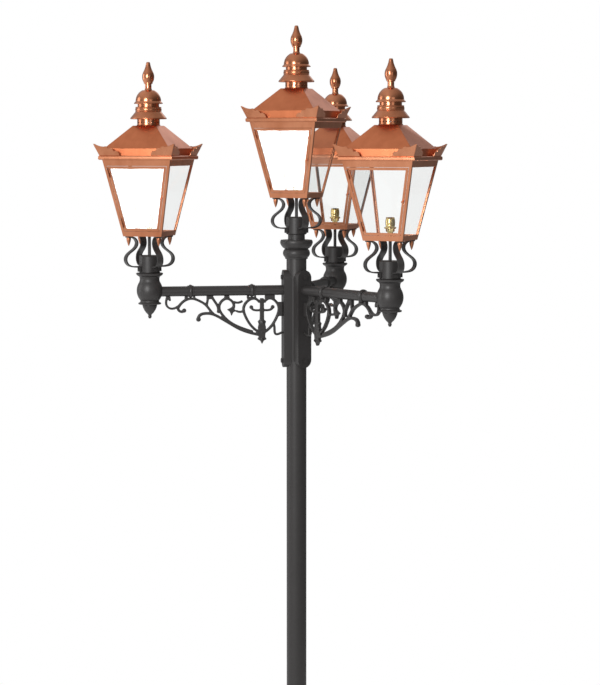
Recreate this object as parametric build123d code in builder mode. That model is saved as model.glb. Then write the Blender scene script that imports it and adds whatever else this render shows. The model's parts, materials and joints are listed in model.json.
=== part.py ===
from build123d import *
import math
import os

# Lamp post with three arm lanterns and one lantern on the column's top.
# Millimetres, +Z up, origin on the ground at the column's axis. Lantern doors face -Y.

# Whole post
arm_height = 2290.0          # arm centreline above the ground
arm_reach = 560.0            # column axis to lantern axis
arm_angles = {"rear": 93.5, "left": 210.0, "right": 326.5}    # from +X, as the arms are set
lantern_turns = {"left": 3.0, "right": -4.0, "rear": 0.0, "centre": -4.0}
vase_top = 71.0              # arm centreline to the seat of an arm lantern
capital_top = 211.0          # arm centreline to the seat of the middle lantern
seat_gap = 0.2               # play between a spigot or tube and its socket
wire_radius = 8.0            # wireway through the castings

# Column
flange_side = 320.0
flange_thickness = 16.0
anchor_spacing = 220.0
anchor_radius = 11.0
base_radius = 69.85
base_wall = 5.0
base_length = 640.0
shoulder_height = 60.0
shoulder_collar = 30.0
shoulder_wall = 5.0
shaft_radius = 38.05
shaft_wall = 4.0

# Base door, its hinge and its lock
door_bottom = 180.0
door_length = 360.0
door_width = 86.0
door_gap = 1.5
knuckle_radius = 6.0
knuckle_length = 24.0
knuckle_gap = 0.4
knuckle_inset = 60.0
knuckle_rise = 6.8           # hinge axis outside the tube's wall
knuckle_strap = 16.0
strap_thickness = 3.0
hinge_pin_radius = 3.0
pin_clearance = 0.06
lock_radius = 9.0
lock_head_radius = 14.0
lock_head_height = 4.0
lock_key_radius = 7.0
lock_inset = 18.0
lock_depth = 18.0            # tongue's face behind the tube's outside
lock_play = 0.3
tongue_length = 32.0
tongue_width = 12.0
tongue_thickness = 4.0

# Cut-out inside the base
board_thickness = 12.0
board_length = 300.0
board_back = 40.0            # board's back face behind the column's axis
board_play = 0.3
cutout_width = 62.0
cutout_depth = 34.0
cutout_length = 150.0

# Capital
capital_base = 118.0         # arm centreline to the capital's lower edge
capital_deck = 190.0         # arm centreline to the top of the upper bead
capital_groove = 156.0
capital_cap = 10.0           # metal over the shaft's end
upper_bead_radius = 62.0
lower_bead_radius = 51.5
groove_radius = 43.5
neck_radius = 32.0
spigot_radius = 24.0
spigot_height = 36.0

# Arms
arm_radius = 19.0
arm_wall = 3.0
arm_insert = 26.0            # how deep the arm tube goes into the vase
ring_radius = 25.0
ring_width = 22.0
ring_places = (172.0, 406.0)     # from the column's axis
plate_face = 53.0                # column axis to a back plate's outer face
plate_width = 62.0
plate_above = 77.0
plate_below = 295.0
plate_bolt_heights = (49.0, -269.0)
bolt_radius = 5.0
bolt_head_across = 17.0
bolt_head_height = 7.0
bolt_reach = 22.0
bolt_clearance = 0.3
bracket_thickness = 16.0
rib_width = 9.5
slim_rib_width = 8.0

# Vase at the arm's end, and the drop below it
vase_bottom = -47.0
vase_lip_radius = 51.0
vase_lip_height = 14.0
vase_neck_radius = 37.0
vase_belly_radius = 48.5
vase_waist_radius = 34.5
vase_flange_radius = 43.5
vase_flange_height = 6.0
drop_radius = 27.5
drop_length = 54.0
drop_tip_radius = 7.0
drop_stud_radius = 8.0
drop_stud_length = 14.0

# Lantern carrier: socket, four legs and their bolts
socket_radius = 39.0
socket_height = 66.0
socket_drop = 139.0              # lantern's bottom to the socket's foot
leg_width = 24.0
leg_thickness = 5.0
leg_foot = 24.0                  # where a leg meets the socket, above the socket's foot
leg_tab = 16.0
leg_line = ((68, -4.6), (60, -9.5), (52, -26), (59, -43), (80, -60), (95, -76), (97, -91),
            (87, -107), (68, -114))
leg_bolt_radius = 3.0
leg_bolt_head = 5.5
leg_bolt_height = 3.0
leg_bolt_reach = 8.0

# Lantern body
body_bottom = 151.0              # outer side at the bottom
body_top = 266.0                 # outer side at the top
body_height = 284.0
frame_wall = 3.0
upright_width = 10.0
bottom_rail = 19.0
top_rail = 23.0
flange_width = 28.0
corner_inset = 16.0              # corner nut's axis in from the bottom rail's outside
nut_radius = 8.5
nut_length = 31.0
nut_stud_radius = 3.0
pane_thickness = 3.0
pane_lap = 3.0                   # how far a pane reaches behind its frame

# Lantern door
leaf_gap = 1.5
leaf_width = 9.0
leaf_thickness = 3.0
barrel_radius = 3.6
barrel_rise = 4.0                # hinge axis outside the lantern's side
barrel_length = 16.0
barrel_inset = 50.0
barrel_gap = 0.4
flap_width = 7.0
flap_thickness = 2.0
flap_bite = 0.5
barrel_pin_radius = 1.8
pin_head_radius = 3.0
pin_head_height = 1.5
knob_radius = 4.0
knob_neck_radius = 2.2
knob_length = 11.0

# Gutter and corner leaves
gutter_side = 290.0
gutter_height = 15.0
gutter_bead = 10.0
gutter_round = 4.5
gutter_sheet = 2.0
gutter_ledge = 236.0             # inner side of the gutter's sheet
leaf_length = 80.0
leaf_height = 47.0
leaf_flare = 22.0                # degrees out from upright
leaf_scallops = (((12, 37), (22, 36)), ((31, 37), (38, 28)), ((50, 29), (58, 18)), ((70, 18), (78, 7)))
leaf_tip = 5.0
leaf_sheet = 2.0
leaf_setback = 5.0               # leaf's foot in from the gutter's outside

# Roof
fascia_side = 256.0
fascia_height = 40.0
slope_height = 84.0
roof_top_side = 91.0
roof_sheet = 2.0
roof_vent_radius = 34.0

# Chimney and finial
vent_radius = 42.0
vent_height = 24.0
vent_holes = 20
vent_hole_radius = 3.0
skirt_radius = 67.0
skirt_height = 29.0
skirt_lip = 5.0
band_radius = 46.0
band_height = 16.0
throat_radius = 40.0
throat_height = 12.0
dome_lip_radius = 53.0
dome_radius = 47.5
dome_height = 50.0
dome_top_radius = 22.0
chimney_sheet = 3.0
finial_height = 104.0
finial_foot_radius = 14.5
finial_neck_radius = 12.0
finial_bulb_radius = 22.5
finial_tip_radius = 7.5
finial_stud_radius = 4.0
finial_stud_length = 10.0

# Lampholder and its stem
stem_radius = 6.0
stem_bore = 4.0
holder_foot = 20.0               # lampholder's foot above the lantern's bottom
holder_radius = 16.0
holder_length = 62.0
holder_ring_radius = 21.5
holder_bore = 11.2
holder_depth = 22.0
holder_insert = 10.0

# Values that follow from the ones above
body_lean = (body_top - body_bottom) / 2
face_length = math.hypot(body_height, body_lean)
face_tilt = math.atan2(body_lean, body_height)
edge_lean = body_lean / face_length
wall_run = frame_wall / math.cos(face_tilt)
corner_reach = (body_bottom / 2 - corner_inset) * math.sqrt(2)
hinge_inset = upright_width + leaf_gap / 2
hinge_places = (barrel_inset, face_length - barrel_inset)
roof_base = body_height + gutter_sheet
chimney_base = roof_base + fascia_height + slope_height
dome_base = chimney_base + vent_height + skirt_height + band_height + throat_height
finial_base = dome_base + dome_height
shoulder_base = flange_thickness + base_length
column_top = shoulder_base + shoulder_height
shaft_foot = column_top - shoulder_collar
quarter_turns = [Location((0, 0, 0), (0, 0, 90 * n)) for n in range(4)]
eighth_turns = [Location((0, 0, 0), (0, 0, 45 + 90 * n)) for n in range(4)]

arm_seats = {name: Location((0, 0, arm_height), (0, 0, angle)) for name, angle in arm_angles.items()}
lantern_seats = {
    name: Location(
        (arm_reach * math.cos(math.radians(angle)), arm_reach * math.sin(math.radians(angle)),
         arm_height + vase_top + socket_drop),
        (0, 0, lantern_turns[name]))
    for name, angle in arm_angles.items()
}
lantern_seats["centre"] = Location(
    (0, 0, arm_height + capital_top + socket_drop), (0, 0, lantern_turns["centre"]))

os.makedirs("parts", exist_ok=True)


def save(part, name):
    part.label = name
    export_step(part, f"parts/{name}.step")
    print(name, len(part.solids()), "solids")


# Shared shapes

def at(place, plane, x=0.0, y=0.0):
    """A plane of the piece's own frame, moved in itself by x and y, where the piece is placed."""
    return Plane(place * plane.location * Location((x, y, 0)))


def turned(place, start, *stretches, mode=Mode.ADD):
    """Turn an outline of (radius, height) points about a place's upright axis.
    A stretch is its end point, or a middle and an end point where it is an arc."""
    with BuildLine() as outline:
        last = start
        for stretch in stretches:
            if isinstance(stretch[0], tuple):
                ThreePointArc(last, *stretch)
                last = stretch[1]
            else:
                Line(last, stretch)
                last = stretch
        Line(last, start)
    with BuildSketch(at(place, Plane.XZ)) as profile:
        make_face(outline.line)
    revolve(profile.sketch, axis=Axis(place.position, (0, 0, 1)), mode=mode)


def round_bar(plane, radius, length, mode=Mode.ADD):
    """Cylinder from a plane along its normal, or against it where the length is negative."""
    with BuildSketch(plane) as profile:
        Circle(radius)
    extrude(profile.sketch, amount=length, mode=mode)


def face_plane(seat, turn=quarter_turns[0], depth=0.0):
    """Plane on a lantern's side: x across, y up the side, z outwards. Depth is inwards."""
    out = Vector(0, -math.cos(face_tilt), -math.sin(face_tilt))
    origin = Vector(0, -body_bottom / 2, 0) - out * depth
    return at(seat * turn, Plane(origin=origin, x_dir=(1, 0, 0), z_dir=out))


def half_width(up, inset):
    """Half the width of a lantern's side at a height up that side, less an inset."""
    return body_bottom / 2 + edge_lean * up - inset * math.hypot(1, edge_lean)


def side_shape(inset, bottom, top):
    """Trapezoid on a lantern's side, parallel to its edges."""
    low = half_width(bottom, inset)
    high = half_width(top, inset)
    with BuildLine() as outline:
        Polyline((-low, bottom), (low, bottom), (high, top), (-high, top), close=True)
    return outline.line


def side_slab(plane, inset, bottom, top, thickness, mode=Mode.ADD):
    """Slab in a lantern's side, from the plane inwards."""
    with BuildSketch(plane) as profile:
        make_face(side_shape(inset, bottom, top))
    extrude(profile.sketch, amount=-thickness, mode=mode)


# Lantern body and door

def hinge_plane(seat, up):
    """Plane square to the slanted door hinge: x outwards from the side, y across it."""
    front = face_plane(seat, depth=-barrel_rise)
    origin = front.from_local_coords(Vector(-half_width(up, hinge_inset), up, 0))
    return Plane(origin=origin, x_dir=front.z_dir, z_dir=front.y_dir - front.x_dir * edge_lean)


def hinge_barrel(seat, up, side):
    """Barrel on a flap that lies on the frame (side -1) or on the door leaf (side 1)."""
    plane = hinge_plane(seat, up).offset(side * (barrel_length + barrel_gap) / 2)
    flap_centre = -barrel_rise + (flap_thickness - flap_bite) / 2
    with BuildSketch(plane) as profile:
        Circle(barrel_radius)
        with Locations((flap_centre, side * (leaf_gap + flap_width) / 2)):
            Rectangle(flap_thickness + flap_bite, flap_width)
    extrude(profile.sketch, amount=barrel_length / 2, both=True)
    with BuildSketch(plane) as bore:
        Circle(barrel_pin_radius + pin_clearance)
    extrude(bore.sketch, amount=barrel_length, both=True, mode=Mode.SUBTRACT)


def make_lantern_frame(name, seat):
    flange_side_run = body_bottom + 2 * body_lean * frame_wall / body_height
    with BuildPart() as frame:
        with BuildSketch(at(seat, Plane.XY)):
            Rectangle(body_bottom, body_bottom)
        with BuildSketch(at(seat, Plane.XY.offset(body_height))):
            Rectangle(body_top, body_top)
        loft()
        with BuildSketch(at(seat, Plane.XY.offset(frame_wall))):
            Rectangle(flange_side_run - 2 * wall_run, flange_side_run - 2 * wall_run)
        with BuildSketch(at(seat, Plane.XY.offset(body_height))):
            Rectangle(body_top - 2 * wall_run, body_top - 2 * wall_run)
        loft(mode=Mode.SUBTRACT)
        with BuildSketch(at(seat, Plane.XY)):
            Rectangle(body_bottom - 2 * flange_width, body_bottom - 2 * flange_width)
        extrude(amount=frame_wall, mode=Mode.SUBTRACT)
        with BuildSketch(at(seat, Plane.XY)):
            with PolarLocations(corner_reach, 4, start_angle=45):
                Circle(nut_stud_radius + seat_gap)
        extrude(amount=frame_wall, mode=Mode.SUBTRACT)
        for turn in quarter_turns:
            outside = face_plane(seat, turn, depth=-frame_wall)
            side_slab(outside, upright_width, bottom_rail, face_length - top_rail, 3 * frame_wall,
                      mode=Mode.SUBTRACT)
        for place in hinge_places:
            hinge_barrel(seat, place, -1)
    save(frame.part, f"{name}_lantern_frame")


def make_fixed_panes(name, seat):
    with BuildPart() as panes:
        for turn in quarter_turns[1:]:
            side_slab(face_plane(seat, turn, depth=frame_wall), upright_width - pane_lap,
                      bottom_rail - pane_lap, face_length - top_rail + pane_lap, pane_thickness)
    save(panes.part, f"{name}_fixed_panes")


def make_door_frame(name, seat):
    inset = upright_width + leaf_gap
    bottom = bottom_rail + leaf_gap
    top = face_length - top_rail - leaf_gap
    with BuildPart() as leaf:
        side_slab(face_plane(seat), inset, bottom, top, leaf_thickness)
        side_slab(face_plane(seat), inset + leaf_width, bottom + leaf_width, top - leaf_width,
                  leaf_thickness, mode=Mode.SUBTRACT)
        for place in hinge_places:
            hinge_barrel(seat, place, 1)
        knob_up = face_length / 2
        knob_across = half_width(knob_up, inset + leaf_width / 2)
        front = face_plane(seat)
        knob = Plane(origin=front.from_local_coords(Vector(knob_across, knob_up, 0)),
                     x_dir=front.x_dir, z_dir=front.z_dir)
        round_bar(knob, knob_neck_radius, knob_length)
        round_bar(knob.offset(knob_length / 2), knob_radius, knob_length / 2)
    save(leaf.part, f"{name}_door_frame")


def make_door_pane(name, seat):
    inset = upright_width + leaf_gap + leaf_width - pane_lap
    with BuildPart() as pane:
        side_slab(face_plane(seat, depth=leaf_thickness), inset,
                  bottom_rail + leaf_gap + leaf_width - pane_lap,
                  face_length - top_rail - leaf_gap - leaf_width + pane_lap, pane_thickness)
    save(pane.part, f"{name}_door_pane")


def make_hinge_pins():
    with BuildPart() as pins:
        for seat in lantern_seats.values():
            for place in hinge_places:
                foot = hinge_plane(seat, place).offset(-barrel_length - barrel_gap / 2)
                length = 2 * barrel_length + 2 * barrel_gap
                round_bar(foot, barrel_pin_radius, length)
                round_bar(foot.offset(length), pin_head_radius, pin_head_height)
    save(pins.part, "lantern_hinge_pins")


# Lantern top

def make_gutter(name, seat):
    with BuildPart() as gutter:
        with BuildSketch(at(seat, Plane.XY.offset(body_height))):
            Rectangle(gutter_side, gutter_side)
        extrude(amount=gutter_height)
        with BuildSketch(at(seat, Plane.XY.offset(body_height + gutter_sheet))):
            Rectangle(gutter_side - 2 * gutter_bead, gutter_side - 2 * gutter_bead)
        extrude(amount=gutter_height, mode=Mode.SUBTRACT)
        with BuildSketch(at(seat, Plane.XY.offset(body_height))):
            Rectangle(gutter_ledge, gutter_ledge)
        extrude(amount=gutter_height, mode=Mode.SUBTRACT)
        rims = gutter.faces().sort_by(Axis.Z)[-1].outer_wire().edges()
        soles = gutter.faces().sort_by(Axis.Z)[0].outer_wire().edges()
        fillet(rims + soles, radius=gutter_round)
    save(gutter.part, f"{name}_gutter")


def leaf_outline():
    """Half of a corner leaf in its own plane, the corner at the origin and the side towards -x."""
    lean = math.sin(math.radians(leaf_flare))
    foot = -leaf_sheet
    last = (leaf_height * lean - leaf_tip, leaf_height)
    with BuildLine() as outline:
        Polyline((-leaf_length, foot), (foot * lean, foot), (leaf_height * lean, leaf_height), last)
        for middle, end in leaf_scallops:
            ThreePointArc(last, (-middle[0], middle[1]), (-end[0], end[1]))
            last = (-end[0], end[1])
        Line(last, (-leaf_length, foot))
    return outline.line


def make_corner_leaves():
    flare = math.radians(leaf_flare)
    half = gutter_side / 2 - leaf_setback
    height = body_height + gutter_height
    with BuildPart() as leaves:
        for seat in lantern_seats.values():
            for turn in quarter_turns:
                right = Plane(origin=(half, -half, height), x_dir=(1, 0, 0),
                              z_dir=(0, -math.cos(flare), -math.sin(flare)))
                left = Plane(origin=(half, -half, height), x_dir=(0, -1, 0),
                             z_dir=(-math.cos(flare), 0, math.sin(flare)))
                for side in (right, left):
                    with BuildSketch(at(seat * turn, side)) as profile:
                        make_face(leaf_outline())
                    extrude(profile.sketch, amount=leaf_sheet / 2, both=True)
            with BuildSketch(at(seat, Plane.XY.offset(height))) as rim:
                Rectangle(gutter_side, gutter_side)
            extrude(rim.sketch, amount=-gutter_height, mode=Mode.SUBTRACT)
    save(leaves.part, "corner_leaves")


def make_roof(name, seat):
    slope_run = roof_sheet / math.sin(math.atan2(slope_height, (fascia_side - roof_top_side) / 2))
    with BuildPart() as roof:
        for inset, foot, mode in ((0.0, 0.0, Mode.ADD), (roof_sheet, -roof_sheet, Mode.SUBTRACT)):
            side = fascia_side - 2 * inset
            with BuildSketch(at(seat, Plane.XY.offset(roof_base + foot))):
                Rectangle(side, side)
            extrude(amount=fascia_height, mode=mode)
            low = fascia_side if mode == Mode.ADD else side
            high = roof_top_side if mode == Mode.ADD else roof_top_side - 2 * slope_run
            with BuildSketch(at(seat, Plane.XY.offset(roof_base + fascia_height + foot))):
                Rectangle(low, low)
            with BuildSketch(at(seat, Plane.XY.offset(chimney_base + foot))):
                Rectangle(high, high)
            loft(mode=mode)
        with BuildSketch(at(seat, Plane.XY.offset(chimney_base))):
            Circle(roof_vent_radius)
        extrude(amount=-3 * roof_sheet, mode=Mode.SUBTRACT)
    save(roof.part, f"{name}_roof")


def make_chimney(name, seat):
    skirt_base = chimney_base + vent_height
    band_base = skirt_base + skirt_height
    throat_base = band_base + band_height
    sheet = chimney_sheet
    with BuildPart() as chimney:
        turned(seat, (vent_radius, chimney_base), (vent_radius, skirt_base + skirt_lip),
               (skirt_radius - 1, skirt_base), (skirt_radius, skirt_base + skirt_lip),
               (band_radius + 1, band_base),
               ((band_radius + 3, band_base + 0.5 * band_height), (band_radius - 2, throat_base)),
               (throat_radius, throat_base), (throat_radius, dome_base),
               (dome_lip_radius, dome_base), (dome_lip_radius, dome_base + sheet),
               (dome_radius, dome_base + 3 * sheet),
               ((0.86 * dome_radius, dome_base + 0.66 * dome_height), (dome_top_radius, finial_base)),
               (finial_stud_radius, finial_base), (finial_stud_radius, finial_base - finial_stud_length),
               (dome_top_radius, finial_base - finial_stud_length),
               (throat_radius - sheet, dome_base + 2 * sheet), (throat_radius - sheet, chimney_base))
        for place in PolarLocations(0, vent_holes).locations:
            round_bar(at(seat * place, Plane.YZ, 0, chimney_base + vent_height / 2),
                      vent_hole_radius, vent_radius + sheet, mode=Mode.SUBTRACT)
    save(chimney.part, f"{name}_chimney")


def make_finials():
    with BuildPart() as finials:
        for seat in lantern_seats.values():
            foot = finial_base
            turned(seat, (0, foot), (finial_foot_radius, foot), (finial_neck_radius, foot + 7),
                   (finial_neck_radius, foot + 22), (finial_neck_radius + 4, foot + 24),
                   (finial_neck_radius + 4, foot + 27),
                   ((finial_bulb_radius, foot + 48), (finial_bulb_radius - 3, foot + 65)),
                   ((finial_tip_radius + 4, foot + 83), (finial_tip_radius, foot + finial_height - 4)),
                   (finial_tip_radius - 2, foot + finial_height), (0, foot + finial_height))
            round_bar(at(seat, Plane.XY.offset(foot)), finial_stud_radius - pin_clearance, -finial_stud_length)
    save(finials.part, "finials")


# Lampholder, stem and carrier

def make_lampholders():
    top = holder_foot + holder_length
    with BuildPart() as holders:
        for seat in lantern_seats.values():
            turned(seat, (stem_bore, holder_foot), (0.62 * holder_radius, holder_foot),
                   (0.62 * holder_radius, holder_foot + 8), (holder_radius, holder_foot + 12),
                   (holder_radius, holder_foot + 20), (holder_ring_radius, holder_foot + 22),
                   (holder_ring_radius, holder_foot + 26), (holder_radius, holder_foot + 28),
                   ((holder_radius + 1.5, holder_foot + 45), (holder_radius - 1, top)),
                   (holder_bore, top), (holder_bore, top - holder_depth), (stem_bore, top - holder_depth))
            round_bar(at(seat, Plane.XY.offset(holder_foot)), stem_radius + pin_clearance, holder_insert,
                      mode=Mode.SUBTRACT)
    save(holders.part, "lampholders")


def make_stems():
    foot = socket_height / 2 - socket_drop
    with BuildPart() as stems:
        for seat in lantern_seats.values():
            length = holder_foot + holder_insert - foot
            round_bar(at(seat, Plane.XY.offset(foot)), stem_radius, length)
            round_bar(at(seat, Plane.XY.offset(foot)), stem_bore, length, mode=Mode.SUBTRACT)
    save(stems.part, "lampholder_stems")


def make_sockets():
    foot = -socket_drop
    rim = 3.0
    with BuildPart() as sockets:
        for seat in lantern_seats.values():
            turned(seat, (spigot_radius + seat_gap, foot), (socket_radius - rim, foot),
                   (socket_radius, foot + rim), (socket_radius, foot + socket_height - rim),
                   (socket_radius - rim, foot + socket_height),
                   (stem_radius + pin_clearance, foot + socket_height),
                   (stem_radius + pin_clearance, foot + socket_height / 2),
                   (stem_bore, foot + socket_height / 2),
                   (stem_bore, foot + spigot_height + seat_gap),
                   (spigot_radius + seat_gap, foot + spigot_height + seat_gap))
            for turn in eighth_turns:
                round_bar(leg_bolt_plane(seat, turn), leg_bolt_radius + pin_clearance,
                          -leg_bolt_reach - leg_thickness, mode=Mode.SUBTRACT)
    save(sockets.part, "carrier_sockets")


def leg_bolt_plane(seat, turn):
    """Plane on a leg tab's outer face, z outwards."""
    height = leg_foot - leg_tab / 2 - leg_thickness / 2 - socket_drop
    return at(seat * turn, Plane.YZ.offset(socket_radius + leg_thickness), 0, height)


def make_legs():
    half = leg_thickness / 2
    foot = leg_foot - socket_drop
    with BuildPart() as legs:
        for seat in lantern_seats.values():
            for turn in eighth_turns:
                with BuildLine() as path:
                    Line((corner_reach + nut_radius, -half), (corner_reach - nut_radius, -half))
                    Spline((corner_reach - nut_radius, -half), *leg_line, (socket_radius + 3 * half, foot))
                with BuildSketch(at(seat * turn, Plane.XZ)) as profile:
                    trace(path.line, line_width=leg_thickness)
                    with Locations((socket_radius + half, foot - leg_tab / 2)):
                        Rectangle(leg_thickness, leg_tab + leg_thickness)
                    with Locations((socket_radius + leg_thickness, foot)):
                        Rectangle(leg_thickness * 2, leg_thickness)
                extrude(profile.sketch, amount=leg_width / 2, both=True)
                round_bar(at(seat * turn, Plane.XY, corner_reach, 0),
                          nut_stud_radius + seat_gap, -2 * leg_thickness, mode=Mode.SUBTRACT)
                round_bar(leg_bolt_plane(seat, turn), leg_bolt_radius + pin_clearance,
                          -2 * leg_thickness, mode=Mode.SUBTRACT)
            round_bar(at(seat, Plane.XY.offset(-socket_drop)), socket_radius, socket_height,
                      mode=Mode.SUBTRACT)
    save(legs.part, "carrier_legs")


def make_leg_bolts():
    with BuildPart() as bolts:
        for seat in lantern_seats.values():
            for turn in eighth_turns:
                plane = leg_bolt_plane(seat, turn)
                round_bar(plane, leg_bolt_head, leg_bolt_height)
                round_bar(plane, leg_bolt_radius, -leg_bolt_reach - leg_thickness)
    save(bolts.part, "leg_bolts")


def make_corner_nuts():
    top = -leg_thickness
    tip = top - nut_length
    with BuildPart() as nuts:
        for seat in lantern_seats.values():
            for turn in eighth_turns:
                place = seat * turn * Location((corner_reach, 0, 0))
                turned(place, (0, frame_wall), (nut_stud_radius, frame_wall), (nut_stud_radius, top),
                       (nut_radius, top), (nut_radius, top - 7),
                       ((0.72 * nut_radius, top - 17), (1.0, tip)), (0, tip))
    save(nuts.part, "corner_nuts")


# Arms

def make_arm(name, seat):
    tip = arm_reach - vase_belly_radius + arm_insert
    with BuildPart() as arm:
        plane = at(seat, Plane.YZ.offset(plate_face))
        round_bar(plane, arm_radius, tip - plate_face)
        round_bar(plane, arm_radius - arm_wall, tip - plate_face, mode=Mode.SUBTRACT)
    save(arm.part, f"{name}_arm_tube")


def make_arm_rings():
    half = ring_width / 2
    step = 0.4 * (ring_radius - arm_radius)
    with BuildPart() as rings:
        for seat in arm_seats.values():
            for place in ring_places:
                with BuildLine() as outline:
                    Polyline((place - half, arm_radius), (place - half, arm_radius + step),
                             (place - 0.6 * half, arm_radius + step))
                    ThreePointArc((place - 0.6 * half, arm_radius + step), (place, ring_radius),
                                  (place + 0.6 * half, arm_radius + step))
                    Polyline((place + 0.6 * half, arm_radius + step), (place + half, arm_radius + step),
                             (place + half, arm_radius), (place - half, arm_radius))
                with BuildSketch(at(seat, Plane.XZ)) as profile:
                    make_face(outline.line)
                revolve(profile.sketch, axis=Axis(seat.position, at(seat, Plane.YZ).z_dir))
    save(rings.part, "arm_rings")


def make_back_plates():
    with BuildPart() as plates:
        for seat in arm_seats.values():
            with BuildSketch(at(seat, Plane.YZ.offset(plate_face))) as profile:
                with Locations((0, (plate_above - plate_below) / 2)):
                    SlotOverall(plate_above + plate_below, plate_width, rotation=90)
            saddle = math.sqrt(shaft_radius ** 2 - (plate_width / 2) ** 2)
            extrude(profile.sketch, amount=saddle - plate_face)
            for height in plate_bolt_heights:
                round_bar(at(seat, Plane.YZ.offset(plate_face), 0, height),
                          bolt_radius + bolt_clearance, -plate_face, mode=Mode.SUBTRACT)
        round_bar(Plane.XY.offset(arm_height - 2 * plate_below), shaft_radius + seat_gap,
                  4 * plate_below, mode=Mode.SUBTRACT)
    save(plates.part, "back_plates")


def make_plate_bolts():
    with BuildPart() as bolts:
        for seat in arm_seats.values():
            for height in plate_bolt_heights:
                plane = at(seat, Plane.YZ.offset(plate_face), 0, height)
                with BuildSketch(plane) as head:
                    RegularPolygon(bolt_head_across / 2, 6, major_radius=False)
                extrude(head.sketch, amount=bolt_head_height)
                round_bar(plane, bolt_radius, -bolt_reach)
    save(bolts.part, "plate_bolts")


def rib(points, width):
    """Casting rib along a smooth line through points, in the bracket's own plane."""
    with BuildLine() as line:
        Spline(*points)
    trace(line.line, line_width=width)


def bracket_outline():
    """Scroll bracket seen from the side: x from the column's axis, y from the arm's centreline."""
    stem = 133.4
    # heart with its volutes
    for side, lean in ((1, 1.0), (-1, 0.93)):
        rib([(stem + side * x * lean, y) for x, y in
             ((9, -46), (35, -31), (69, -61), (61, -103), (36, -140), (6, -162))], rib_width)
        rib([(stem + side * x, y) for x, y in ((0, -76), (22, -76), (36, -72), (41, -64))],
            slim_rib_width)
        with Locations((stem + side * 41, -64)):
            Circle(6.5)
    # stem, leaf knops and cross finial
    with BuildLine() as stem_line:
        Polyline((stem - 7, -30), (stem + 7, -30), (stem + 8, -112), (stem + 16, -118),
                 (stem + 12, -128), (stem + 15, -140), (stem + 12, -178), (stem + 18, -186),
                 (stem + 6, -192), (stem, -205), (stem - 6, -192), (stem - 18, -186),
                 (stem - 12, -178), (stem - 15, -140), (stem - 12, -128), (stem - 16, -118),
                 (stem - 8, -112), close=True)
    make_face(stem_line.line)
    # lower rib from the stem's foot out to its curled end
    rib(((stem, -171), (175, -162), (217, -147), (256, -125), (287, -106), (323, -88),
         (349, -85), (370, -91), (377, -104)), rib_width + 1)
    with Locations((376, -107)):
        Circle(8)
    # second scroll and its star leaf
    rib(((169, -157), (207, -144), (256, -119), (284, -92), (297, -58), (268, -30), (243, -48),
         (247, -73)), rib_width)
    with BuildLine() as star:
        Polyline((268, -72), (254, -66), (246, -60), (241, -70), (229, -77), (243, -81), (250, -96),
                 (256, -80), close=True)
    make_face(star.line)
    rib(((208, -39), (224, -46), (241, -42)), slim_rib_width)
    rib(((206, -79), (218, -81), (232, -77)), slim_rib_width)
    # upper arch out to its two curled ends
    rib(((318, -88), (331, -74), (346, -55), (375, -36), (405, -28), (429, -36), (448, -54),
         (453, -68), (443, -77), (431, -74)), rib_width)
    with Locations((430, -73)):
        Circle(7)
    rib(((447, -52), (462, -62), (480, -65), (496, -54), (498, -36), (492, -16)), slim_rib_width)
    rib(((484, -36), (487, -16)), slim_rib_width)
    # rib that closes the almond beside the arch
    rib(((302, -84), (303, -58), (318, -34), (326, -16)), rib_width)
    rib(((344, -52), (341, -34), (338, -16)), slim_rib_width)
    # pads below the arm
    for low, high in ((483, 499), (388, 428), (320, 345), (258, 277), (156, 191), (84, 122)):
        with Locations(((low + high) / 2, -22)):
            Rectangle(high - low, 18)
    # links to the back plate
    with Locations(((plate_face + 71) / 2, -72)):
        Rectangle(71 - plate_face, 54)
    rib(((91, -126), (85, -146), (80, -168), (66, -166), (plate_face + 1, -160)), slim_rib_width)


def make_bracket(name, seat):
    with BuildPart() as bracket:
        with BuildSketch(at(seat, Plane.XZ)) as profile:
            bracket_outline()
        extrude(profile.sketch, amount=bracket_thickness / 2, both=True)
        round_bar(at(seat, Plane.YZ), arm_radius, arm_reach, mode=Mode.SUBTRACT)
        with BuildSketch(at(seat, Plane.YZ)) as behind:
            Rectangle(plate_width, 2 * plate_below)
        extrude(behind.sketch, amount=plate_face, mode=Mode.SUBTRACT)
        for place in ring_places:
            round_bar(at(seat, Plane.YZ.offset(place - ring_width / 2 - seat_gap)), ring_radius + seat_gap,
                      ring_width + 2 * seat_gap, mode=Mode.SUBTRACT)
    save(bracket.part, f"{name}_scroll_bracket")


def make_vase(name, seat):
    place = seat * Location((arm_reach, 0, 0))
    lip = vase_top
    with BuildPart() as vase:
        turned(place, (wire_radius, lip + spigot_height), (spigot_radius, lip + spigot_height),
               (spigot_radius, lip), (vase_lip_radius - 2, lip), (vase_lip_radius, lip - 3),
               (vase_lip_radius - 3, lip - 8), (vase_neck_radius + 2, lip - vase_lip_height),
               ((vase_neck_radius, lip - 22), (vase_neck_radius + 3, lip - 36)),
               ((vase_belly_radius, 0.0), (vase_waist_radius + 1, vase_bottom + 15)),
               ((vase_waist_radius + 1, vase_bottom + vase_flange_height + 4),
                (vase_flange_radius - 2, vase_bottom + vase_flange_height)),
               (vase_flange_radius, vase_bottom + 3), (vase_flange_radius - 2, vase_bottom),
               (drop_stud_radius + pin_clearance, vase_bottom),
               (drop_stud_radius + pin_clearance, vase_bottom + drop_stud_length + seat_gap),
               (wire_radius, vase_bottom + drop_stud_length + seat_gap))
        mouth = at(seat, Plane.YZ.offset(arm_reach - vase_belly_radius + arm_insert + seat_gap))
        round_bar(mouth, arm_radius + seat_gap, -2 * arm_insert - vase_belly_radius, mode=Mode.SUBTRACT)
        round_bar(mouth, arm_radius - arm_wall, vase_belly_radius - arm_insert, mode=Mode.SUBTRACT)
    save(vase.part, f"{name}_arm_vase")


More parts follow.
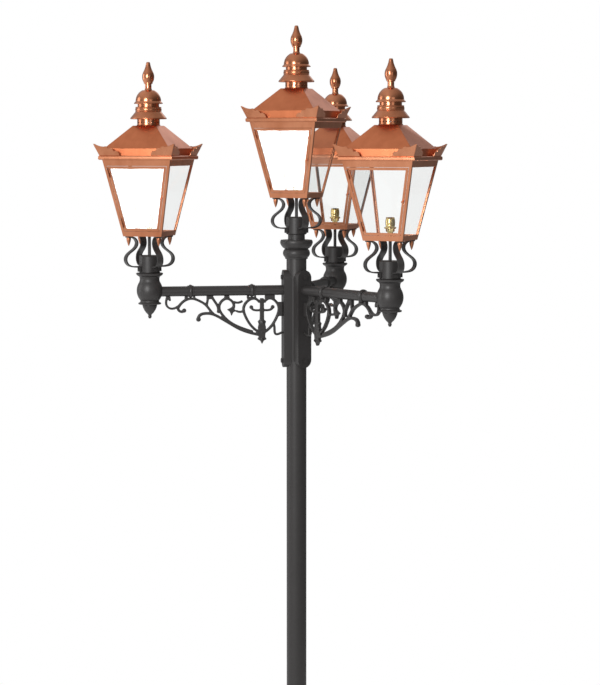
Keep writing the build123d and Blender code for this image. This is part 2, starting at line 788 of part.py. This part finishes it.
def make_drops():
    top = vase_bottom
    tip = top - drop_length
    with BuildPart() as drops:
        for seat in arm_seats.values():
            place = seat * Location((arm_reach, 0, 0))
            turned(place, (0, top), (drop_radius, top), (drop_radius, top - 5),
                   ((0.62 * drop_radius, top - 0.52 * drop_length), (drop_tip_radius, tip + 15)),
                   (drop_tip_radius - 1, tip + 12), (drop_tip_radius, tip + 8),
                   (0.7 * drop_tip_radius, tip + 2), (0.3 * drop_tip_radius, tip), (0, tip))
            round_bar(at(place, Plane.XY.offset(top)), drop_stud_radius, drop_stud_length)
    save(drops.part, "drop_finials")


# Column

def make_flange():
    with BuildPart() as flange:
        with BuildSketch(Plane.XY):
            RectangleRounded(flange_side, flange_side, 12)
            Circle(base_radius - base_wall, mode=Mode.SUBTRACT)
            with GridLocations(anchor_spacing, anchor_spacing, 2, 2):
                Circle(anchor_radius, mode=Mode.SUBTRACT)
        extrude(amount=flange_thickness)
    save(flange.part, "base_flange")


def door_wedge(play):
    """Block through the front of the base, the door's width and length plus play all round."""
    with BuildSketch(Plane.XZ) as profile:
        with Locations((0, door_bottom + door_length / 2)):
            Rectangle(door_width + 2 * play, door_length + 2 * play)
    return profile.sketch


def knuckle_angle():
    """Angle of the base door's hinge axis about the column, past the door's left edge."""
    edge = math.asin((door_width / 2 + door_gap / 2) / base_radius)
    return -math.pi / 2 - edge


def knuckle_plane(height):
    reach = base_radius + knuckle_rise
    angle = knuckle_angle()
    origin = (reach * math.cos(angle), reach * math.sin(angle), height)
    return Plane(origin=origin, x_dir=(math.cos(angle), math.sin(angle), 0), z_dir=(0, 0, 1))


def knuckle(height, side):
    """Barrel with a strap on the base's wall: side -1 is the tube, side 1 is the door."""
    plane = knuckle_plane(height)
    wall_bite = 1.5
    start = base_radius - wall_bite
    end = base_radius + strap_thickness
    sweep = math.degrees(knuckle_strap / base_radius)
    play = math.degrees(door_gap / 2 / base_radius)
    middle = math.degrees(knuckle_angle()) + side * (play + sweep / 2)
    with BuildSketch(Plane.XY.offset(height)) as strap:
        Circle(end)
        Circle(start, mode=Mode.SUBTRACT)
        with BuildLine() as wedge:
            reach = 2 * base_radius
            corners = [(reach * math.cos(math.radians(middle + turn)),
                        reach * math.sin(math.radians(middle + turn))) for turn in (-sweep / 2, sweep / 2)]
            Polyline((0, 0), *corners, close=True)
        make_face(wedge.line, mode=Mode.INTERSECT)
    extrude(strap.sketch, amount=knuckle_length)
    with BuildSketch(plane) as barrel:
        Circle(knuckle_radius)
        with Locations((-knuckle_rise / 2, side * knuckle_radius / 2)):
            Rectangle(knuckle_rise, knuckle_radius)
    extrude(barrel.sketch, amount=knuckle_length)
    round_bar(plane, hinge_pin_radius + pin_clearance, knuckle_length, mode=Mode.SUBTRACT)


def knuckle_heights():
    """Foot of the lower barrel in each hinge."""
    pair = 2 * knuckle_length + knuckle_gap
    return (door_bottom + knuckle_inset, door_bottom + door_length - knuckle_inset - pair)


def make_base_tube():
    inner = base_radius - base_wall
    collar = shaft_radius + shoulder_wall
    with BuildPart() as base:
        turned(Location(), (inner, flange_thickness), (base_radius, flange_thickness),
               (base_radius, shoulder_base), (collar, shaft_foot), (collar, column_top),
               (shaft_radius + seat_gap, column_top), (shaft_radius + seat_gap, shaft_foot),
               (shaft_radius - shaft_wall, shaft_foot), (inner, shoulder_base - base_wall))
        extrude(door_wedge(door_gap), amount=2 * base_radius, mode=Mode.SUBTRACT)
        for height in knuckle_heights():
            knuckle(height, -1)
    save(base.part, "base_tube")


def lock_plane():
    """Plane across the lock's axis at the tube's outer wall, z outwards."""
    angle = -math.pi / 2 + (door_width / 2 - lock_inset) / base_radius
    out = (math.cos(angle), math.sin(angle), 0)
    origin = (base_radius * out[0], base_radius * out[1], door_bottom + door_length / 2)
    return Plane(origin=origin, x_dir=(-out[1], out[0], 0), z_dir=out)


def make_base_door():
    with BuildPart() as door:
        round_bar(Plane.XY.offset(door_bottom), base_radius, door_length)
        round_bar(Plane.XY.offset(door_bottom), base_radius - base_wall, door_length, mode=Mode.SUBTRACT)
        extrude(door_wedge(0), amount=2 * base_radius, mode=Mode.INTERSECT)
        for height in knuckle_heights():
            knuckle(height + knuckle_length + knuckle_gap, 1)
        round_bar(lock_plane().offset(-4 * base_wall), lock_radius + pin_clearance, 8 * base_wall,
                  mode=Mode.SUBTRACT)
    save(door.part, "base_door")


def make_base_hinge_pins():
    with BuildPart() as pins:
        for height in knuckle_heights():
            length = 2 * knuckle_length + 2 * knuckle_gap
            round_bar(knuckle_plane(height), hinge_pin_radius, length)
            round_bar(knuckle_plane(height + length), knuckle_radius - 1, 2 * pin_head_height)
    save(pins.part, "base_hinge_pins")


def make_door_lock():
    face = lock_plane()
    with BuildPart() as lock:
        round_bar(face.offset(-lock_depth), lock_radius, lock_depth + lock_play)
        round_bar(face.offset(lock_play), lock_head_radius, lock_head_height)
        with BuildSketch(face.offset(lock_play + lock_head_height)) as key:
            RegularPolygon(lock_key_radius, 3)
        extrude(key.sketch, amount=-lock_head_height, mode=Mode.SUBTRACT)
        with BuildSketch(face.offset(-lock_depth)) as tongue:
            with Locations((0, tongue_length / 2 - tongue_width / 2)):
                SlotOverall(tongue_length, tongue_width, rotation=90)
        extrude(tongue.sketch, amount=-tongue_thickness)
    save(lock.part, "base_door_lock")


def make_board():
    inner = base_radius - base_wall
    width = 2 * (math.sqrt(inner ** 2 - board_back ** 2) - board_play)
    middle = door_bottom + door_length / 2
    with BuildPart() as board:
        with BuildSketch(Plane.XZ.offset(-board_back)):
            with Locations((0, middle)):
                Rectangle(width, board_length)
        extrude(amount=board_thickness)
    save(board.part, "cutout_board")
    with BuildPart() as cutout:
        with BuildSketch(Plane.XZ.offset(board_thickness - board_back)):
            with Locations((0, middle)):
                RectangleRounded(cutout_width, cutout_length, 5)
        extrude(amount=cutout_depth)
        lid = cutout.faces().sort_by(Axis.Y)[0]
        chamfer(lid.edges(), length=2)
    save(cutout.part, "fused_cutout")


def make_shaft():
    top = arm_height + capital_deck - capital_cap
    with BuildPart() as shaft:
        round_bar(Plane.XY.offset(shaft_foot), shaft_radius, top - shaft_foot)
        round_bar(Plane.XY.offset(shaft_foot), shaft_radius - shaft_wall, top - shaft_foot,
                  mode=Mode.SUBTRACT)
        for seat in arm_seats.values():
            for height in plate_bolt_heights:
                round_bar(at(seat, Plane.YZ, 0, height), bolt_radius + pin_clearance,
                          2 * shaft_radius, mode=Mode.SUBTRACT)
    save(shaft.part, "column_shaft")


def make_capital():
    place = Location((0, 0, arm_height))
    bore = shaft_radius + seat_gap
    middle = (capital_base + capital_groove) / 2
    shaft_end = capital_deck - capital_cap
    with BuildPart() as capital:
        turned(place, (bore, capital_base), (groove_radius - 1, capital_base),
               (groove_radius, capital_base + 6),
               ((lower_bead_radius, middle + 3), (groove_radius, capital_groove)),
               ((groove_radius + 10, capital_groove + 7), (upper_bead_radius - 2, capital_groove + 17)),
               ((upper_bead_radius, capital_deck - 9), (upper_bead_radius - 3, capital_deck)),
               (neck_radius, capital_deck), (neck_radius, capital_top), (spigot_radius, capital_top),
               (spigot_radius, capital_top + spigot_height), (wire_radius, capital_top + spigot_height),
               (wire_radius, shaft_end), (bore, shaft_end))
    save(capital.part, "capital")


# Build

for name, seat in lantern_seats.items():
    make_lantern_frame(name, seat)
    make_fixed_panes(name, seat)
    make_door_frame(name, seat)
    make_door_pane(name, seat)
    make_gutter(name, seat)
    make_roof(name, seat)
    make_chimney(name, seat)
make_hinge_pins()
make_corner_leaves()
make_finials()
make_lampholders()
make_stems()
make_sockets()
make_legs()
make_leg_bolts()
make_corner_nuts()
for name, seat in arm_seats.items():
    make_arm(name, seat)
    make_bracket(name, seat)
    make_vase(name, seat)
make_arm_rings()
make_back_plates()
make_plate_bolts()
make_drops()
make_flange()
make_base_tube()
make_base_door()
make_base_hinge_pins()
make_door_lock()
make_board()
make_shaft()
make_capital()
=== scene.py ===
import json
import math

import bmesh
import bpy
from mathutils import Matrix, Vector

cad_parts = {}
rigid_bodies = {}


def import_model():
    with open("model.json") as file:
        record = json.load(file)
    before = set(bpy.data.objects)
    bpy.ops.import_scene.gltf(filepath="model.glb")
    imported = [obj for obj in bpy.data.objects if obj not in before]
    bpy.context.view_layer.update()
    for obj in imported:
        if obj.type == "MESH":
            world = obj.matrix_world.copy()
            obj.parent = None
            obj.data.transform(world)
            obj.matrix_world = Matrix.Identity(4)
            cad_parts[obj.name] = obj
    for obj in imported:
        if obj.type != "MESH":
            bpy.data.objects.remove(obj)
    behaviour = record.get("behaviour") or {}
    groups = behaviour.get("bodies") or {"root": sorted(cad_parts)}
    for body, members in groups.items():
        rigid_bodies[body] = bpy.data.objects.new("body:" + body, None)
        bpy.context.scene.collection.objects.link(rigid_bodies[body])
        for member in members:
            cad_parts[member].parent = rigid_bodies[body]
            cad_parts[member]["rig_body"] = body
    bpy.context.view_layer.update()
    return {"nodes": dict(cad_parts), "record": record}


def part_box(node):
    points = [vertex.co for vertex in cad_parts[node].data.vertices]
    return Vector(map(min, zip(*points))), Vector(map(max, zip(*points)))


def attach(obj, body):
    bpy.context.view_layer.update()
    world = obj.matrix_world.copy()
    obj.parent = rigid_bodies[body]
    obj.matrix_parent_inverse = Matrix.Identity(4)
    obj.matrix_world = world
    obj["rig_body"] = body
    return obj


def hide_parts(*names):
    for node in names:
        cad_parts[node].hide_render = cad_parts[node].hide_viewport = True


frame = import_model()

scene = bpy.context.scene
nodes = frame["nodes"]
mm = 0.001
print("frame loaded:", len(nodes), "nodes")

post = {                                                    # as the lanterns and arms stand, in degrees and mm
    "turns": {"left": 3, "right": -4, "rear": 0, "centre": -4},
    "arms": {"rear": 93.5, "left": 210.0, "right": 326.5},
    "armHeight": 2290,
}


def turned(degrees, axis="Z"):
    return Matrix.Rotation(math.radians(degrees), 4, axis)


def moved(x, y, z):                                         # in mm
    return Matrix.Translation(Vector((x, y, z)) * mm)


def lanternPlace(name):                                     # on the lantern's axis, at its frame's foot
    low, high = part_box(name + "_roof")
    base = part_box(name + "_lantern_frame")[0].z
    middle = (low + high) / 2
    return Matrix.Translation((middle.x, middle.y, base)) @ turned(post["turns"][name])


def armPlace(name):                                         # on the column's axis, with X along the arm
    return moved(0, 0, post["armHeight"]) @ turned(post["arms"][name])


# materials, with sums on their sockets written as plain Python
class Wire:                                                 # one node output
    def __init__(self, tree, socket):
        self.tree, self.socket = tree, socket

    def sum(self, operation, first, second, clamp=False):
        made = self.tree.nodes.new("ShaderNodeMath")
        made.operation = operation
        made.use_clamp = clamp
        for socket, value in zip(made.inputs, (first, second)):
            if isinstance(value, Wire):
                self.tree.links.new(value.socket, socket)
            else:
                socket.default_value = value
        return Wire(self.tree, made.outputs[0])

    def __add__(self, other): return self.sum("ADD", self, other)
    def __radd__(self, other): return self.sum("ADD", other, self)
    def __sub__(self, other): return self.sum("SUBTRACT", self, other)
    def __rsub__(self, other): return self.sum("SUBTRACT", other, self)
    def __mul__(self, other): return self.sum("MULTIPLY", self, other)
    def __rmul__(self, other): return self.sum("MULTIPLY", other, self)
    def __pow__(self, other): return self.sum("POWER", self, other)
    def clamped(self): return self.sum("ADD", self, 0.0, clamp=True)


class Finish:                                               # a material, or the world, and its node tree
    def __init__(self, name, tree=None):
        if tree is None:
            self.material = bpy.data.materials.new(name)
            self.material.use_nodes = True
            tree = self.material.node_tree
        self.tree = tree
        tree.nodes.clear()

    def node(self, kind, settings={}, sockets={}, output=0):
        made = self.tree.nodes.new(kind)
        for key, value in settings.items():
            setattr(made, key, value)
        for key, value in sockets.items():
            if isinstance(value, Wire):
                self.tree.links.new(value.socket, made.inputs[key])
            else:
                made.inputs[key].default_value = value
        return Wire(self.tree, made.outputs[output]) if made.outputs else made

    def place(self, scale=(1, 1, 1)):                       # object coordinates
        here = self.node("ShaderNodeTexCoord", output=3)
        return self.node("ShaderNodeMapping", {}, {"Vector": here, "Scale": scale})

    def noise(self, scale, detail=3.0, rough=0.55, stretch=(1, 1, 1), distortion=0.0):
        return self.node("ShaderNodeTexNoise", {}, {
            "Vector": self.place(stretch), "Scale": scale, "Detail": detail, "Roughness": rough,
            "Distortion": distortion})

    def between(self, value, low, high):                    # 0 at low, 1 at high, and no further
        return self.node("ShaderNodeMapRange", {}, {"Value": value, "From Min": low, "From Max": high})

    def blend(self, share, first, second):
        return self.node("ShaderNodeMix", {"data_type": "RGBA"}, {0: share, 6: first, 7: second}, output=2)

    def bump(self, height, strength, distance):
        return self.node("ShaderNodeBump", {}, {"Height": height, "Strength": strength, "Distance": distance})

    def rays(self, *kinds):                                 # 1 for a ray of that kind
        return [self.node("ShaderNodeLightPath", output="Is " + kind + " Ray") for kind in kinds]

    def surface(self, shader):
        self.node("ShaderNodeOutputMaterial", {}, {"Surface": shader})
        return self.material


def rgb(red, green, blue):
    return (red, green, blue, 1)


def copperFinish(name, tone, dark, rough):
    f = Finish(name)
    cloud = f.noise(scale=7.0, detail=4.0, rough=0.6, distortion=0.3)
    streak = f.noise(scale=38.0, rough=0.6, stretch=(1, 1, 0.16))
    grain = f.noise(scale=900.0, detail=2.0, rough=0.6, stretch=(1, 1, 0.25))
    stain = f.between(cloud * 0.7 + streak * 0.3, low=0.42, high=0.68)
    return f.surface(f.node("ShaderNodeBsdfPrincipled", {}, {
        "Base Color": f.blend(stain * 0.75, tone, dark), "Metallic": 1.0,
        "Roughness": (rough - 0.10) + 0.16 * cloud + 0.06 * grain,
        "Normal": f.bump(0.6 * grain + 0.4 * streak, strength=0.10, distance=0.0004)}))


def paintFinish(name, tone, rough, pitting):
    f = Finish(name)
    cloud = f.noise(scale=11.0)
    skin = f.noise(scale=420.0, rough=0.6)
    dust = f.between(f.noise(scale=60.0, detail=4.0, rough=0.7), low=0.52, high=0.75)
    return f.surface(f.node("ShaderNodeBsdfPrincipled", {}, {
        "Base Color": f.blend(dust * 0.25, tone, rgb(0.05, 0.047, 0.045)),
        "Roughness": (rough - 0.08) + 0.14 * cloud + 0.05 * skin,
        "Specular IOR Level": 0.5, "Normal": f.bump(skin, strength=pitting, distance=0.0006)}))


def glassFinish(name):
    f = Finish(name)
    film = f.noise(scale=5.0)
    clear = f.node("ShaderNodeBsdfTransparent", {}, {"Color": rgb(0.993, 0.996, 0.994)})
    gloss = f.node("ShaderNodeBsdfPrincipled", {}, {
        "Base Color": rgb(0.95, 0.97, 0.97), "Metallic": 1.0, "Roughness": 0.01 + 0.02 * film})
    slant = f.node("ShaderNodeLayerWeight", {}, {"Blend": 0.5}, output=1)
    mirror = 0.022 + 0.35 * slant ** 6.0 + 0.01 * film      # more at a slant
    return f.surface(f.node("ShaderNodeMixShader", {}, {0: mirror, 1: clear, 2: gloss}))


def metalFinish(name, tone, dark, rough):
    f = Finish(name)
    cloud = f.noise(scale=60.0, detail=4.0, rough=0.6)
    grain = f.noise(scale=1500.0, detail=2.0)
    tarnish = f.between(cloud, low=0.45, high=0.7)
    return f.surface(f.node("ShaderNodeBsdfPrincipled", {}, {
        "Base Color": f.blend(tarnish * 0.6, tone, dark), "Metallic": 1.0,
        "Roughness": (rough - 0.08) + 0.18 * cloud, "Normal": f.bump(grain, strength=0.08, distance=0.0003)}))


def boardFinish(name, tone, dark):
    f = Finish(name)
    rings = f.node("ShaderNodeTexWave", {"wave_type": "BANDS", "bands_direction": "X"}, {
        "Vector": f.place((1, 1, 0.12)), "Scale": 46.0, "Distortion": 5.0, "Detail": 3.0})
    pores = f.noise(scale=500.0, stretch=(1, 1, 0.08))
    return f.surface(f.node("ShaderNodeBsdfPrincipled", {}, {
        "Base Color": f.blend(rings * 0.6 + pores * 0.3, tone, dark), "Roughness": 0.55 + 0.25 * pores,
        "Normal": f.bump(pores, strength=0.2, distance=0.0005)}))


black = rgb(0.031, 0.0285, 0.028)
finishes = {
    "copper": copperFinish("satinCopper", rgb(0.66, 0.275, 0.15), rgb(0.46, 0.155, 0.07), 0.28),
    # the roofs get a darker, browner copper than the walls: painted shade for the dim ceiling that their
    # upward slopes mirror
    "roofShadedCopper": copperFinish("roofPaintedShadeCopper", rgb(0.62, 0.20, 0.09), rgb(0.45, 0.13, 0.055), 0.34),
    "spunCopper": copperFinish("spunCopper", rgb(0.62, 0.245, 0.13), rgb(0.42, 0.14, 0.06), 0.22),
    "clear_glass": glassFinish("clearGlass"),
    "brass": metalFinish("lampholderBrass", rgb(0.86, 0.66, 0.28), rgb(0.62, 0.42, 0.13), 0.22),
    "steel": metalFinish("plainSteel", rgb(0.55, 0.54, 0.52), rgb(0.32, 0.31, 0.30), 0.30),
    "black_casting": paintFinish("castingBlack", black, 0.42, 0.22),
    "black_steel": paintFinish("tubeBlack", black, 0.37, 0.10),
    "board": boardFinish("plainBoard", rgb(0.52, 0.36, 0.19), rgb(0.30, 0.18, 0.09)),
    "moulding": paintFinish("mouldedCase", rgb(0.05, 0.05, 0.055), 0.28, 0.05),
}
print("materials made:", len(finishes))


def dress(piece, finish):
    piece.data.materials.clear()
    piece.data.materials.append(finishes[finish])


slotOf = {entry["node"]: entry["material_slot"] for entry in frame["record"]["subparts"]}
for nodeName, piece in nodes.items():
    finish = slotOf[nodeName]
    # roofs take the darker copper with painted shade in its colour
    if nodeName.endswith("_roof"):
        finish = "roofShadedCopper"
    elif nodeName.endswith("_chimney") or nodeName == "finials":
        finish = "spunCopper"
    dress(piece, finish)


# mesh helpers
def objectOf(work, name):
    mesh = bpy.data.meshes.new(name)
    work.to_mesh(mesh)
    work.free()
    piece = bpy.data.objects.new(name, mesh)
    scene.collection.objects.link(piece)
    return piece


def finished(work, name, finish, body, smooth=40):
    bmesh.ops.recalc_face_normals(work, faces=work.faces[:])
    piece = objectOf(work, name)
    dress(piece, finish)
    for face in piece.data.polygons:
        face.use_smooth = True
    piece.data.set_sharp_from_angle(angle=math.radians(smooth))
    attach(piece, body)
    return piece


def mergedCopy(nodeName, flatten=True):                     # a node's mesh with its flat faces in one
    work = bmesh.new()
    work.from_mesh(nodes[nodeName].data)
    bmesh.ops.remove_doubles(work, verts=work.verts[:], dist=0.01 * mm)
    if flatten:
        bmesh.ops.dissolve_limit(work, angle_limit=math.radians(1.0), verts=work.verts[:], edges=work.edges[:])
    return work


def evaluatedMesh(piece):
    view = bpy.context.evaluated_depsgraph_get()
    return bpy.data.meshes.new_from_object(piece.evaluated_get(view))


def cone(work, place, foot, tip, tall, segments):
    return bmesh.ops.create_cone(work, cap_ends=True, segments=segments, radius1=foot * mm, radius2=tip * mm,
                                 depth=tall * mm, matrix=place)


# sheet copper and bar with rounded edges
rounding = {
    "segments": 2, "angle": 30,
    "lantern": {"_lantern_frame": ("copper", 1.4), "_gutter": ("copper", 1.0), "_roof": ("roofShadedCopper", 1.4),
                "_door_frame": ("copper", 0.7)},
    "rest": {"corner_leaves": ("copper", 0.7), "carrier_legs": ("black_steel", 1.0),
             "back_plates": ("black_casting", 2.0), "base_flange": ("black_steel", 2.0),
             "base_door": ("black_steel", 0.8)},
}


def softened(nodeName, finish, width):
    piece = finished(mergedCopy(nodeName), nodeName + ".look", finish,
                     nodes[nodeName]["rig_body"], smooth=rounding["angle"])
    bevel = piece.modifiers.new("edges", "BEVEL")
    bevel.width = width * mm
    bevel.segments = rounding["segments"]
    bevel.limit_method = "ANGLE"
    bevel.angle_limit = math.radians(rounding["angle"])
    bevel.harden_normals = True
    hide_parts(nodeName)


for name in post["turns"]:
    for ending, (finish, width) in rounding["lantern"].items():
        softened(name + ending, finish, width)
for nodeName, (finish, width) in rounding["rest"].items():
    softened(nodeName, finish, width)
print("edges rounded")


# scroll brackets as castings, measured from the arm's axis at the column
bracket = {
    "grain": 1.7, "easing": 4, "squash": 0.9, "leafTip": 1.5,
    "bosses": ((92, -64, 8.0), (174, -64, 8.0), (376, -107, 9.5), (430, -73, 8.5), (247, -72, 7.0),
               (133, -66, 8.5), (133, -122, 12.5), (133, -160, 10.0)),     # along, up, radius
    "leaves": ((133, -186, 17, 6.5), (133, -122, 13, 7.0)),                # along, up, reach, radius
}


def castBracket(name):
    node = name + "_scroll_bracket"
    place = armPlace(name)
    work = mergedCopy(node)
    for x, z, radius in bracket["bosses"]:
        shape = moved(x, 0, z) @ Matrix.Diagonal((1, bracket["squash"], 1, 1))
        bmesh.ops.create_icosphere(work, subdivisions=3, radius=radius * mm, matrix=place @ shape)
    for x, z, reach, width in bracket["leaves"]:
        for side in (-1, 1):                                # one on each face of the casting
            shape = moved(x, side * reach / 2, z) @ turned(-90 * side, "X")
            cone(work, place @ shape, width, bracket["leafTip"], reach, segments=10)
    casting = finished(work, node + ".look", "black_casting", nodes[node]["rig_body"])
    melt = casting.modifiers.new("melt", "REMESH")
    melt.mode = "VOXEL"
    melt.voxel_size = bracket["grain"] * mm
    work = bmesh.new()
    work.from_mesh(evaluatedMesh(casting))
    for _ in range(bracket["easing"]):
        bmesh.ops.smooth_vert(work, verts=work.verts[:], factor=0.5, use_axis_x=True, use_axis_y=True,
                              use_axis_z=True)
    casting.modifiers.clear()
    work.to_mesh(casting.data)
    work.free()
    for face in casting.data.polygons:
        face.use_smooth = True
    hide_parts(node)


for name in post["arms"]:
    castBracket(name)
print("brackets cast")


# lampholders with bayonet slots, a knurled ring and contacts
holder = {
    "top": 82, "boreDepth": 22,                             # up from the lantern frame's foot
    "contact": (2.6, 2.1, 8), "contactOut": 4.6, "contactTurn": 40,
    "ring": 21.5, "ringTall": 4.4, "ringHeight": 44, "knurls": 40, "dent": 0.965,
    "slot": (9, 4.4, 11.0), "slotOver": 1, "slotOut": 13.5, "slotTurn": 25, "hook": 3.0, "hookAside": 3.4,
}


def ringAndContacts(name, work):
    place = lanternPlace(name)
    foot, tip, tall = holder["contact"]
    for turn in (0, 180):                                   # contacts stand in the bottom of the bore
        spot = moved(holder["contactOut"], 0, holder["top"] - holder["boreDepth"] + tall / 2)
        cone(work, place @ turned(turn + holder["contactTurn"]) @ spot, foot, tip, tall, segments=18)
    spot = place @ moved(0, 0, holder["ringHeight"])
    ring = cone(work, spot, holder["ring"], holder["ring"], holder["ringTall"], segments=2 * holder["knurls"])
    for index, vert in enumerate(ring["verts"]):
        if index % 4 < 2:                                   # every second pair stands in a little
            vert.co = spot.translation + (vert.co - spot.translation) * holder["dent"]


def slotCutter(name, work):
    place = lanternPlace(name)
    through, wide, deep = holder["slot"]
    for turn in (0, 180):
        spin = place @ turned(turn + holder["slotTurn"])
        down = moved(holder["slotOut"], 0, holder["top"] - deep / 2 + holder["slotOver"])
        shape = Matrix.Diagonal((through * mm, wide * mm, (deep + 2 * holder["slotOver"]) * mm, 1))
        bmesh.ops.create_cube(work, size=1, matrix=spin @ down @ shape)
        aside = moved(holder["slotOut"], holder["hookAside"], holder["top"] - deep)
        cone(work, spin @ aside @ turned(90, "Y"), holder["hook"], holder["hook"], through, segments=20)


holderBody = nodes["lampholders"]["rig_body"]
shell = finished(mergedCopy("lampholders", flatten=False), "lampholders.look", "brass", holderBody)
cutWork, ringWork = bmesh.new(), bmesh.new()
for name in post["turns"]:
    slotCutter(name, cutWork)
    ringAndContacts(name, ringWork)
bmesh.ops.recalc_face_normals(cutWork, faces=cutWork.faces[:])
cutter = objectOf(cutWork, "slotCutter")
cut = shell.modifiers.new("slots", "BOOLEAN")
cut.object = cutter
cut.solver = "EXACT"
cut.use_self = True
cut.operation = "DIFFERENCE"
shell.data = evaluatedMesh(shell)
shell.modifiers.clear()
bpy.data.objects.remove(cutter)
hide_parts("lampholders")
dress(shell, "brass")
finished(ringWork, "lampholderRings", "brass", holderBody, smooth=30)
print("lampholders done")


# spun work on the chimneys: rolled lips and turned lines
chimney = {"neck": 410, "skirt": 434, "band": 463, "throat": 479, "dome": 491,     # each one's foot
           "facet": 36, "steps": 72}
rolls = (                                                   # radius, height, roll
    (65.0, chimney["skirt"] + 2.6, 2.8), (47.0, chimney["band"] + 0.5, 2.0),
    (46.0, chimney["throat"] - 1.5, 2.2), (51.4, chimney["dome"] + 1.8, 2.3),
    (42.3, chimney["neck"] + 2.0, 2.0),
)


def spun(work, place, outline):
    verts = [work.verts.new(place @ (Vector((r, 0, z)) * mm)) for r, z in outline]
    edges = [work.edges.new((first, second)) for first, second in zip(verts, verts[1:] + verts[:1])]
    bmesh.ops.spin(work, geom=verts + edges, cent=place.translation, axis=place.to_3x3() @ Vector((0, 0, 1)),
                   angle=math.tau, steps=chimney["steps"], use_merge=True, use_duplicate=False)


rollWork = bmesh.new()
for name in post["turns"]:
    place = lanternPlace(name)
    for radius, height, roll in rolls:
        angles = [math.radians(degrees) for degrees in range(0, 360, chimney["facet"])]
        spun(rollWork, place, [(radius + roll * math.cos(a), height + roll * math.sin(a)) for a in angles])
finished(rollWork, "chimneyRolls", "spunCopper", nodes["left_chimney"]["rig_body"], smooth=80)
print("chimney rolls spun")


# soft lights: place, what it faces, size, watts
lights = {
    "softKey": ((-0.5, -6.4, 3.9), (0, 0, 2.5), (1.8, 2.6), 260),
    "softLeft": ((-5.5, -1.5, 3.2), (0, 0, 2.3), (2.5, 3.5), 55),
    "softFill": ((4.3, -5.1, 3.4), (0, 0, 2.3), (2.5, 3.0), 20),
    "softBack": ((-0.6, 5.5, 5.2), (0, 0, 2.4), (3.0, 2.0), 16),
    "glassCard": ((-3.05, -6.2, 0.25), (-0.2, -0.2, 2.7), (3.0, 2.2), 430),
}
for name, (place, aim, size, power) in lights.items():
    lamp = bpy.data.lights.new(name, "AREA")
    lamp.energy = power
    lamp.shape = "RECTANGLE"
    lamp.size, lamp.size_y = size
    stand = bpy.data.objects.new(name, lamp)
    stand.location = place
    stand.rotation_euler = (Vector(aim) - Vector(place)).to_track_quat("-Z", "Y").to_euler()
    scene.collection.objects.link(stand)

# the card is low on the left, and only the front glass of two lanterns mirrors it, as in the photograph
mirrors = bpy.data.collections.new("cardMirrors")
for name in ("left", "centre"):
    mirrors.objects.link(nodes[name + "_door_pane"])
bpy.data.objects["glassCard"].light_linking.receiver_collection = mirrors

studio = {"walls": 0.38, "floor": 0.62, "ceiling": 0.37, "darkSide": 0.25, "diffuse": 0.5}
world = bpy.data.worlds.new("paleStudio")
scene.world = world
world.use_nodes = True
w = Finish("paleStudio", world.node_tree)
cameraRay, glossyRay, throughRay = w.rays("Camera", "Glossy", "Transmission")
direction = w.node("ShaderNodeTexCoord", output=0)
across, depth, height = (w.node("ShaderNodeSeparateXYZ", {}, {"Vector": direction}, output=axis)
                         for axis in range(3))
lit = w.between(0.3 * height - 0.9 * across - 0.25 * depth, low=-0.8, high=0.6)    # brighter on the left
low, high = w.between(height, low=-0.12, high=-0.34), w.between(height, low=0.2, high=0.7)
walls = studio["walls"] + studio["floor"] * low + studio["ceiling"] * high         # walls darker than the rest
mirrored = glossyRay * walls * (studio["darkSide"] + (1 - studio["darkSide"]) * lit)
seen = (cameraRay + throughRay).clamped()
other = 1.0 - (seen + glossyRay).clamped()
level = seen + mirrored * (1.0 - seen) + studio["diffuse"] * other
background = w.node("ShaderNodeBackground", {}, {"Color": rgb(1, 1, 1), "Strength": level})
w.node("ShaderNodeOutputWorld", {}, {"Surface": background})

ground = {"radius": 2.5, "segments": 96, "tone": rgb(0.82, 0.82, 0.82), "glow": 0.7}
floorWork = bmesh.new()
bmesh.ops.create_circle(floorWork, cap_ends=True, segments=ground["segments"], radius=ground["radius"])
floor = objectOf(floorWork, "floorDisc")
f = Finish("paleFloor")
white = f.node("ShaderNodeBsdfDiffuse", {}, {"Color": ground["tone"]})
glow = f.node("ShaderNodeEmission", {}, {"Color": rgb(1, 1, 1), "Strength": 1.0})
cameraRay, glossyRay, throughRay = f.rays("Camera", "Glossy", "Transmission")
share = (cameraRay + glossyRay + throughRay).clamped() * ground["glow"]
floor.data.materials.append(f.surface(f.node("ShaderNodeMixShader", {}, {0: share, 1: white, 2: glow})))

# the camera stands where the photograph was taken, round the post's axis
view = {"azimuth": 19.70, "distance": 7.855, "height": 2.8546, "pitch": 5.57, "yaw": -0.098, "lens": 108.79,
        "sensor": 36}
camera = bpy.data.objects.new("camera", bpy.data.cameras.new("camera"))
scene.collection.objects.link(camera)
swing = math.radians(view["azimuth"])
camera.location = (view["distance"] * math.sin(swing), -view["distance"] * math.cos(swing), view["height"])
camera.rotation_euler = (math.radians(90 - view["pitch"]), 0, swing + math.radians(view["yaw"]))
camera.data.lens = view["lens"]
camera.data.sensor_width = view["sensor"]
scene.camera = camera
scene.view_settings.view_transform = "Standard"
print("stage set")
